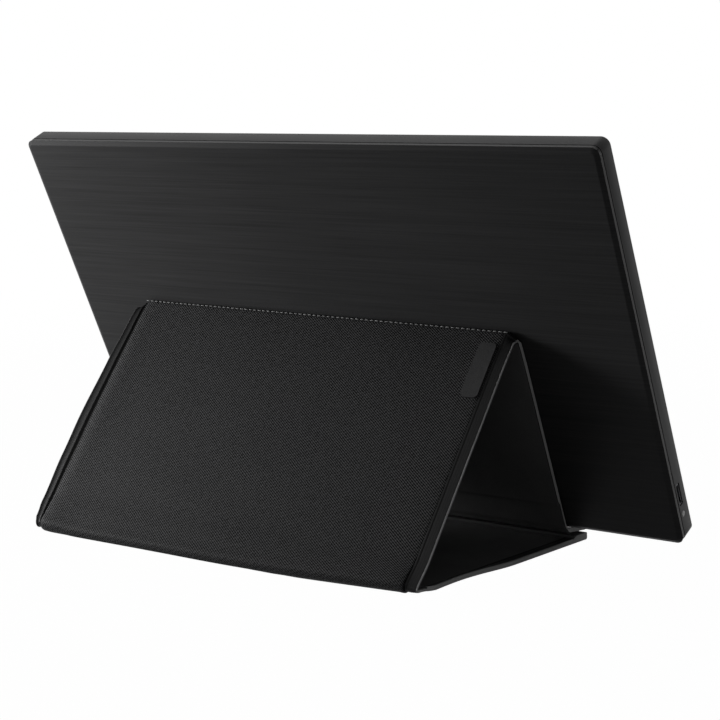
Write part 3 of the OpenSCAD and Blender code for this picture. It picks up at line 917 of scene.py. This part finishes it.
def paint_seam_shade(piece, depth):
    """Gives the painted seam shade to the faces that stand across it at that depth or further in."""
    for face in piece.data.polygons:
        x, up, deep = local(face.center)
        across = abs(face.normal.dot(DEEP)) > 0.9
        if across and abs(deep - depth) < 0.1:
            face.material_index = 1


def merged_copy(node, name):
    """A copy of a CAD node's mesh with its triangles merged into whole faces, open for editing."""
    mesh = frame["nodes"][node].data.copy()
    piece = bpy.data.objects.new(name, mesh)
    bpy.context.scene.collection.objects.link(piece)
    edit(piece)
    bpy.ops.mesh.select_all(action="SELECT")
    bpy.ops.mesh.remove_doubles(threshold=0.002 * MM)
    bpy.ops.mesh.dissolve_limited(angle_limit=math.radians(0.6))
    bpy.ops.mesh.select_all(action="DESELECT")
    return piece


def round_edges(piece, test, radius, segments=3):
    pick_edges(piece, test)
    bpy.ops.mesh.bevel(offset=radius, segments=segments, affect="EDGES", clamp_overlap=True)


def round_loop(piece, edge, radius, segments=3):
    """Rounds one of the casing's edges, all the way round."""
    depth, inside = edge

    def on_edge(place):
        x, up, deep = local(place)
        return abs(deep - depth) <= 0.06 and abs(inset(x, up) - inside) <= 0.15

    round_edges(piece, lambda a, b: on_edge(a) and on_edge(b), radius, segments)


# Operators, one for each group of pieces


class MONITOR_OT_materials(bpy.types.Operator):
    """Make the plastics, leathers and metals"""

    bl_idname = "monitor.materials"
    bl_label = "Materials"

    def execute(self, context):
        make_materials()
        return {"FINISHED"}


class MONITOR_OT_casing(bpy.types.Operator):
    """Round the casing's edges and give the back its hairlines"""

    bl_idname = "monitor.casing"
    bl_label = "Casing"

    def execute(self, context):
        back = merged_copy("rear_cover", "back_casing")
        round_loop(back, BACK_EDGE, context.scene.monitor_looks.edge_radius)
        round_loop(back, BEVEL_EDGE, SEAM_RADIUS, 2)
        done(back)
        finished(back, ["back", "gap"], ["rear_cover"], "monitor")
        # Painted shade: the faces at the bottom of the back's seam get the near-black seam material
        paint_seam_shade(back, BEVEL_EDGE[0] - 0.02)

        bezel = merged_copy("front_bezel", "front_casing")
        round_loop(bezel, FRONT_EDGE, 0.4 * MM, 4)
        round_loop(bezel, FRAME_EDGE, SEAM_RADIUS, 2)
        done(bezel)
        finished(bezel, ["casing", "gap"], ["front_bezel"], "monitor")
        # Painted shade: the faces at the bottom of the bezel's seam get the near-black seam material
        paint_seam_shade(bezel, FRAME_EDGE[0] + 0.02)

        band = done(merged_copy("middle_frame", "middle_band"))
        finished(band, ["band", "gap"], ["middle_frame"], "monitor")
        # Painted shade: the band's faces inside the seams get the near-black seam material
        for face in band.data.polygons:
            x, up, deep = local(face.center)
            if inset(x, up) > 0.3:
                face.material_index = 1
        dress(button="power_button", steel="case_screws")
        return {"FINISHED"}


class MONITOR_OT_screen(bpy.types.Operator):
    """Finish the screen and what lies behind it"""

    bl_idname = "monitor.screen"
    bl_label = "Screen"

    def execute(self, context):
        dress(
            screen="lcd_glass", foam="screen_gasket", white="diffuser_sheets reflector_sheet",
            guide="light_guide", amber="led_strip", steel="screen_tray")
        return {"FINISHED"}


class MONITOR_OT_electronics(bpy.types.Operator):
    """Finish the boards, cables, cable socket and status light"""

    bl_idname = "monitor.electronics"
    bl_label = "Electronics"

    def execute(self, context):
        dress(
            board="timing_board control_board button_board", chip="board_chips usb_tongue",
            shell="usb_socket", amber="insulating_sheet button_cable", cable="ribbon_cable",
            steel="button_switch board_screws", lamp="status_light")
        low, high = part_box("status_light")
        lens = added(
            "status_lens", bpy.ops.mesh.primitive_cylinder_add,
            vertices=40, radius=LENS_RADIUS, depth=LENS_DEPTH, rotation=(0, math.pi / 2, 0),
            location=(low.x + 0.2 * MM, (low.y + high.y) / 2, (low.z + high.z) / 2), calc_uvs=False)
        bpy.ops.object.transform_apply(location=True, rotation=True, scale=True)
        edit(lens)
        round_edges(lens, lambda a, b: max(a.x, b.x) < low.x, 0.12 * MM, 3)
        done(lens)
        finished(lens, ["lamp"], body="monitor")
        return {"FINISHED"}


class COVER_OT_rear(bpy.types.Operator):
    """Make the leather, lining and bands of the rear panel and its fold"""

    bl_idname = "cover.rear"
    bl_label = "Rear panel"

    def execute(self, context):
        start, end = AT_REAR - 9 * MM, AT_RIDGE - 0.55 * MM
        rows = spread(start, end, 3 * MM, near(AT_REAR, 4 * MM, 24) + near(end, 3 * MM, 12))

        def outer(x, s):
            swell = 0.9 * bump_shape(s - AT_REAR - 7 * MM, 16 * MM)
            swell += 0.7 * bump_shape(s - AT_REAR, 7 * MM)
            return leather_top(x, s) + swell * MM - 0.35 * MM * math.exp(-(end - s) / (0.5 * MM))

        leather = lay(
            "rear_leather", inner_columns(), rows, lambda x, s: BOARD_OUT + SEAM, outer,
            ["weave"], ["rear_skin", "rear_fold"])
        lining = lay(
            "rear_panel_lining", full_columns(6 * MM), rows,
            lambda x, s: -HALF_SHEET - 0.03 * MM + 0.2 * wavy(x, s), lambda x, s: BOARD_IN - SEAM,
            ["lining"], ["rear_lining"])
        # Painted shade: the rear panel's right band takes the darker copy of the binding
        columns, top = BANDS["right"]
        right = lay(
            "rear_band_right", columns, rows, band_under, top,
            ["dull"], ["rear_bindings"])
        columns, top = BANDS["left"]
        left = lay(
            "rear_band_left", columns, rows, band_under, top, ["smooth", "rim"])
        edge = lay(
            "rear_cut_edge", CUT_COLUMNS, rows, lambda x, s: -0.15 * MM, lambda x, s: 1.02 * MM,
            ["edge"])
        sheet_of(leather, rows, right, left, edge)
        sheet_of(lining, rows)
        panel_board(
            "rear_panel_board", AT_REAR + BOARD_GAP, AT_RIDGE - BOARD_GAP, "rear_board", "rear_panel")
        return {"FINISHED"}


class COVER_OT_ridge(bpy.types.Operator):
    """Make the leather over the ridge"""

    bl_idname = "cover.ridge"
    bl_label = "Ridge"

    def execute(self, context):
        rows = spread(AT_RIDGE - 0.7 * MM, AT_RIDGE + 5 * MM, 0.5 * MM, near(AT_RIDGE, 1.5 * MM, 12))
        x0, x1 = COVER_X0, COVER_X1

        def outer(x, s):
            height = HALF_SHEET - 0.1 * MM + wavy(x, s)
            height += 0.3 * MM * bump_shape(s - AT_RIDGE - 0.4 * MM, 2 * MM)
            height -= 0.5 * MM * math.exp(-(x - x0) / (1.2 * MM))
            return height - 0.7 * MM * math.exp(-(x1 - x) / (1.5 * MM))

        columns = spread(x0, x1, 3 * MM, past(x0, 0.3, 0.8, 1.5) + past(x1, -0.3, -0.8, -1.5))
        lay(
            "ridge_leather", columns, rows, lambda x, s: -0.3 * MM, outer,
            ["smooth"], ["apex_fold"])
        lay(
            "ridge_cut_edge", CUT_COLUMNS, rows, lambda x, s: -0.35 * MM, lambda x, s: 0.9 * MM,
            ["edge"])
        return {"FINISHED"}


class COVER_OT_front(bpy.types.Operator):
    """Make the leather, lining and bands of the front panel, and the lip that holds the monitor"""

    bl_idname = "cover.front"
    bl_label = "Front panel and lip"

    def execute(self, context):
        soft = AT_LIP - SOFT_FROM
        close = near(AT_LIP, 6 * MM, 24) + near(soft, 2 * MM, 8)
        close += past(AT_END, -0.1, -0.3, -0.6, -1, -1.5)
        rows = spread(AT_RIDGE + 4.8 * MM, AT_END, 3 * MM, close)

        def on_lip(s):
            """0 on the panel and 1 on the lip."""
            return ramp(s, AT_LIP, AT_LIP + 3 * MM)

        def past_board(s):
            """0 beside the board and 1 in the soft part before the lip."""
            return ramp(s, soft + 0.5 * MM, soft + 3 * MM)

        def half(s):
            return HALF_SHEET + (LIP_HALF - HALF_SHEET) * on_lip(s)

        def share(s):
            return half(s) / HALF_SHEET

        def nosed(height, s):
            return nose(height, max(AT_END - s, 0), LIP_HALF)

        def thin(s):
            """How far the bands' inner side rises where the sheet is soft, in millimetres."""
            begun = ramp(s, soft - 1.5 * MM, soft + 1.5 * MM)
            return begun * (1 - ramp(s, AT_LIP + 0.5 * MM, AT_LIP + 4 * MM))

        def lip_cover(height, s):
            """A band's groove closes on the lip, over its steel strip."""
            return max(height, 1.15 * MM * ramp(s, AT_LIP - 2 * MM, AT_LIP + 3 * MM))

        def inner_low(x, s):
            thick = -HALF_SHEET - 0.04 * MM + 1.15 * MM * past_board(s)
            return nosed(thick + (-LIP_HALF + 0.05 * MM) * on_lip(s), s)

        def inner_high(x, s):
            return nosed(BOARD_IN - SEAM + 0.95 * MM * past_board(s) - 1.25 * MM * on_lip(s), s)

        leather = lay(
            "front_leather", spread(COVER_X0 + RIGHT_BAND, COVER_X1 - LEFT_BAND, 4 * MM), rows,
            lambda x, s: BOARD_OUT + SEAM if s < AT_LIP else nosed(0.45 * MM, s),
            lambda x, s: nosed(half(s) + 0.4 * wavy(x, s), s),
            ["weave"], ["front_skin", "lip_skin", "lip_fold"])
        lining = lay(
            "front_panel_lining", full_columns(8 * MM), rows, inner_low, inner_high,
            ["lining"], ["front_lining", "lip_lining"])
        lay_bands(
            "front", rows,
            lambda x, s, end, top: nosed(band_under(x, s) * share(s) + 1.14 * MM * thin(s), s),
            lambda x, s, top: nosed(lip_cover(top(x, s), s) * share(s), s), "front_bindings")
        edge = lay(
            "front_cut_edge", CUT_COLUMNS, rows,
            lambda x, s: nosed(-0.95 * MM * share(s) + 0.95 * MM * thin(s), s),
            lambda x, s: nosed(1.0 * MM * share(s), s),
            ["edge"])
        others = ("ridge_leather", "ridge_cut_edge", "front_band_right", "front_band_left")
        sheet_of(leather, rows, edge, *(bpy.data.objects[name] for name in others))
        sheet_of(lining, rows)
        dress(card="front_board")
        lay(
            "lip_strip", spread(COVER_X0 + 2 * MM, COVER_X1 - 2 * MM, 8 * MM),
            spread(AT_LIP + 4.5 * MM, AT_END - 2 * MM, 3 * MM),
            lambda x, s: -0.6 * MM, lambda x, s: 0.4 * MM,
            ["steel"], ["lip_steel"], "lip")
        return {"FINISHED"}


class COVER_OT_base(bpy.types.Operator):
    """Make the leather, lining and bands of the base, and the hem with the magnets"""

    bl_idname = "cover.base"
    bl_label = "Base"

    def execute(self, context):
        rows = spread(0.0, AT_REAR - 8.8 * MM, 4 * MM, past(0, 0.1, 0.3, 0.6, 1, 1.5, 2.2))

        def nosed(height, s):
            return nose(height, s, HALF_SHEET)

        skin = lay(
            "base_leather", inner_columns(5 * MM), rows,
            lambda x, s: nosed(BOARD_OUT + SEAM, s), lambda x, s: nosed(HALF_SHEET - SEAM, s),
            ["weave"], ["base_skin"], "base")
        lining = lay(
            "base_panel_lining", inner_columns(6 * MM), rows,
            lambda x, s: nosed(-HALF_SHEET + 0.3 * wavy(x, s), s), lambda x, s: nosed(BOARD_IN - SEAM, s),
            ["lining"], ["base_lining"], "base")

        def band_low(x, s, end, top):
            return nosed(band_under(x, s) if end == "left" else -1.3 * top(x, s) + 0.3 * MM, s)

        lay_bands(
            "base", rows, band_low, lambda x, s, top: nosed(min(top(x, s), HALF_SHEET), s),
            "base_bindings", "base")

        def hem_end(x, s):
            """The cut edge is taller where it closes the end of the hem."""
            off = x - COVER_X0
            tall = 1.7 * (1 - ramp(off, 0, 0.4 * MM)) * (1 - ramp(s, 12 * MM, 14 * MM))
            return (-1.24 - tall + 0.4 * ramp(off, 1.4 * MM, 1.9 * MM)) * MM

        edge = lay(
            "base_cut_edge", past(COVER_X0, -0.1, -0.06, 0, 0.4, 1.5, 1.9), rows,
            lambda x, s: nosed(hem_end(x, s), s), lambda x, s: nosed(1.1 * MM, s),
            ["edge"], body="base")
        sheet_of(skin, rows, edge, *(bpy.data.objects["base_band_" + name] for name in BANDS))
        sheet_of(lining, rows)

        hem = merged_copy("magnet_hem", "front_hem")
        round_edges(
            hem, lambda a, b: abs(a.x - b.x) > 50 * MM and min(a.z, b.z) > 3.2 * MM, 1.3 * MM, 5)
        done(hem, 50)
        finished(hem, ["lining"], ["magnet_hem"], "base")
        dress(magnet="hem_magnets")
        panel_board("base_panel_board", 4 * MM, AT_REAR - BOARD_GAP, "base_board", "base")
        return {"FINISHED"}


class COVER_OT_trims(bpy.types.Operator):
    """Make the stitching and the bare leather tab"""

    bl_idname = "cover.trims"
    bl_label = "Stitching and tab"

    def stitch_row(self, first, step, count, length):
        """One stitch along a step, repeated: a ball drawn out to a short thread with sunk ends."""
        piece = added(
            "ridge_stitches", bpy.ops.mesh.primitive_uv_sphere_add,
            segments=8, ring_count=6, radius=THREAD_THICK / 2, calc_uvs=False)
        reach = length / 2 - THREAD_THICK / 2
        for vertex in piece.data.vertices:
            vertex.co.z += reach if vertex.co.z > 0 else -reach if vertex.co.z < 0 else 0
        turn = Vector((0, 0, 1)).rotation_difference(step.normalized()).to_matrix().to_4x4()
        piece.data.transform(Matrix.Translation(first) @ turn)
        repeat = piece.modifiers.new("Repeat", "ARRAY")
        repeat.count = count
        repeat.use_relative_offset = False
        repeat.use_constant_offset = True
        repeat.constant_offset_displace = step
        alone(piece)
        bpy.ops.object.modifier_apply(modifier="Repeat")
        bpy.ops.object.shade_smooth()
        finished(piece, ["thread"], body="rear_panel")

    def execute(self, context):
        looks = context.scene.cover_looks
        pitch = looks.stitch_pitch
        x0, x1 = COVER_X0 + 3 * MM, COVER_X1 - 7 * MM
        count = int((x1 - x0) / pitch)
        at = AT_RIDGE - 0.35 * MM
        first = LOOP.point(x1, at, HALF_SHEET + 0.2 * MM) + slump(x1 - 9 * MM, at) * 0.98
        step = Vector((-pitch, 0, -pitch * RIDGE_TILT * MM / HALF_LENGTH))
        self.stitch_row(first, step, count, looks.stitch_length)
        tab = merged_copy("label_tab", "leather_tab")
        round_edges(tab, lambda a, b: (a - b).length < 1.2 * MM, 2.6 * MM, 6)
        done(tab)
        finished(tab, ["tab"], ["label_tab"], "rear_panel")
        return {"FINISHED"}


# The camera that was fitted to the photograph: its place, its turns about its own axes, and its lens
CAMERA_PLACE = (-0.603562, 0.803233, 0.224908)
CAMERA_TURNS = ((215.723, "Z"), (90 - 7.053, "X"), (0.514, "Z"))
CAMERA_LENS = 90.6973
LAMP_AIM = (0, 0, 0.1)
FLOOR_SIZE = 30


class STAGE_OT_studio(bpy.types.Operator):
    """Set the floor, the lamps and the camera of the photograph"""

    bl_idname = "stage.studio"
    bl_label = "Studio"

    def lamp(self, name, place, size, power):
        data = bpy.data.lights.new(name, "AREA")
        data.shape = "RECTANGLE"
        data.size, data.size_y = size
        data.energy = power
        lamp = bpy.data.objects.new(name, data)
        bpy.context.scene.collection.objects.link(lamp)
        data.spread = math.radians(120)
        lamp.location = place
        lamp.rotation_euler = (Vector(LAMP_AIM) - Vector(place)).to_track_quat("-Z", "Y").to_euler()

    def execute(self, context):
        scene = context.scene
        looks = scene.stage_looks
        floor = added("floor", bpy.ops.mesh.primitive_plane_add, size=FLOOR_SIZE)
        f = Finish("Pale floor")
        grain = f.noise(f.place(), 40, 2)
        f.set(Base_Color=f.mix(grain, *shades(looks.floor, 0.99, 1.01)), Roughness=0.9)
        glow = f.add("Emission", inputs={"Color": (1, 1, 1, 1), "Strength": 1.0})
        x, y, z = f.axes()
        away = ((x * x + y * y) ** 0.5).between(0.35, 1.6)
        share = (seen_rays(f.tree) * (away * 0.01 + 0.99)).held()
        blend = f.add("MixShader", inputs={0: share, 1: f.shader.outputs[0], 2: glow.outputs[0]})
        out = next(n for n in f.tree.nodes if n.type == "OUTPUT_MATERIAL")
        f.tree.links.new(blend.outputs[0], out.inputs["Surface"])
        floor.data.materials.append(f.material)

        world = bpy.data.worlds.new("Studio")
        scene.world = world
        world.use_nodes = True
        tree = world.node_tree
        tree.nodes.clear()
        out = tree.nodes.new("ShaderNodeOutputWorld")
        air = tree.nodes.new("ShaderNodeBackground")
        air.inputs["Color"].default_value = (1, 1, 1, 1)
        tree.links.new((seen_rays(tree) * (1 - looks.air) + looks.air).socket, air.inputs["Strength"])
        tree.links.new(air.outputs[0], out.inputs["Surface"])

        self.lamp("key", (0.51, 0.29, 0.17), (0.25, 0.2), looks.key)
        self.lamp("fill", (0.5, 0.0, 1.6), (1.2, 1.2), looks.fill)

        data = bpy.data.cameras.new("photograph")
        camera = bpy.data.objects.new("photograph", data)
        scene.collection.objects.link(camera)
        stand = Matrix.Translation(CAMERA_PLACE)
        for angle, axis in CAMERA_TURNS:
            stand @= Matrix.Rotation(math.radians(angle), 4, axis)
        camera.matrix_world = stand
        data.sensor_width = 36
        data.lens = CAMERA_LENS
        data.clip_start, data.clip_end = 0.05, 60
        scene.camera = camera
        scene.view_settings.view_transform = "Standard"
        return {"FINISHED"}


class MONITOR_PT_dress(bpy.types.Panel):
    """The steps that dress the part, in order"""

    bl_label = "Monitor and cover"
    bl_idname = "MONITOR_PT_dress"
    bl_space_type = "VIEW_3D"
    bl_region_type = "UI"
    bl_category = "Monitor"

    def draw(self, context):
        for step in STEPS:
            self.layout.operator(step.bl_idname)
        for group in (context.scene.monitor_looks, context.scene.cover_looks, context.scene.stage_looks):
            for name in group.bl_rna.properties.keys():
                if name not in ("rna_type", "name"):
                    self.layout.prop(group, name)


STEPS = (
    MONITOR_OT_materials, MONITOR_OT_casing, MONITOR_OT_screen, MONITOR_OT_electronics,
    COVER_OT_base, COVER_OT_rear, COVER_OT_ridge, COVER_OT_front, COVER_OT_trims, STAGE_OT_studio,
)
LOOKS = {"cover_looks": CoverLooks, "monitor_looks": MonitorLooks, "stage_looks": StageLooks}


def register():
    for group in LOOKS.values():
        bpy.utils.register_class(group)
    for name, group in LOOKS.items():
        setattr(bpy.types.Scene, name, bpy.props.PointerProperty(type=group))
    for step in STEPS:
        bpy.utils.register_class(step)
    bpy.utils.register_class(MONITOR_PT_dress)


def unregister():
    bpy.utils.unregister_class(MONITOR_PT_dress)
    for step in reversed(STEPS):
        bpy.utils.unregister_class(step)
    for name, group in LOOKS.items():
        delattr(bpy.types.Scene, name)
        bpy.utils.unregister_class(group)


def main():
    register()
    for step in STEPS:
        group, name = step.bl_idname.split(".")
        getattr(getattr(bpy.ops, group), name)()


if __name__ == "__main__":
    main()
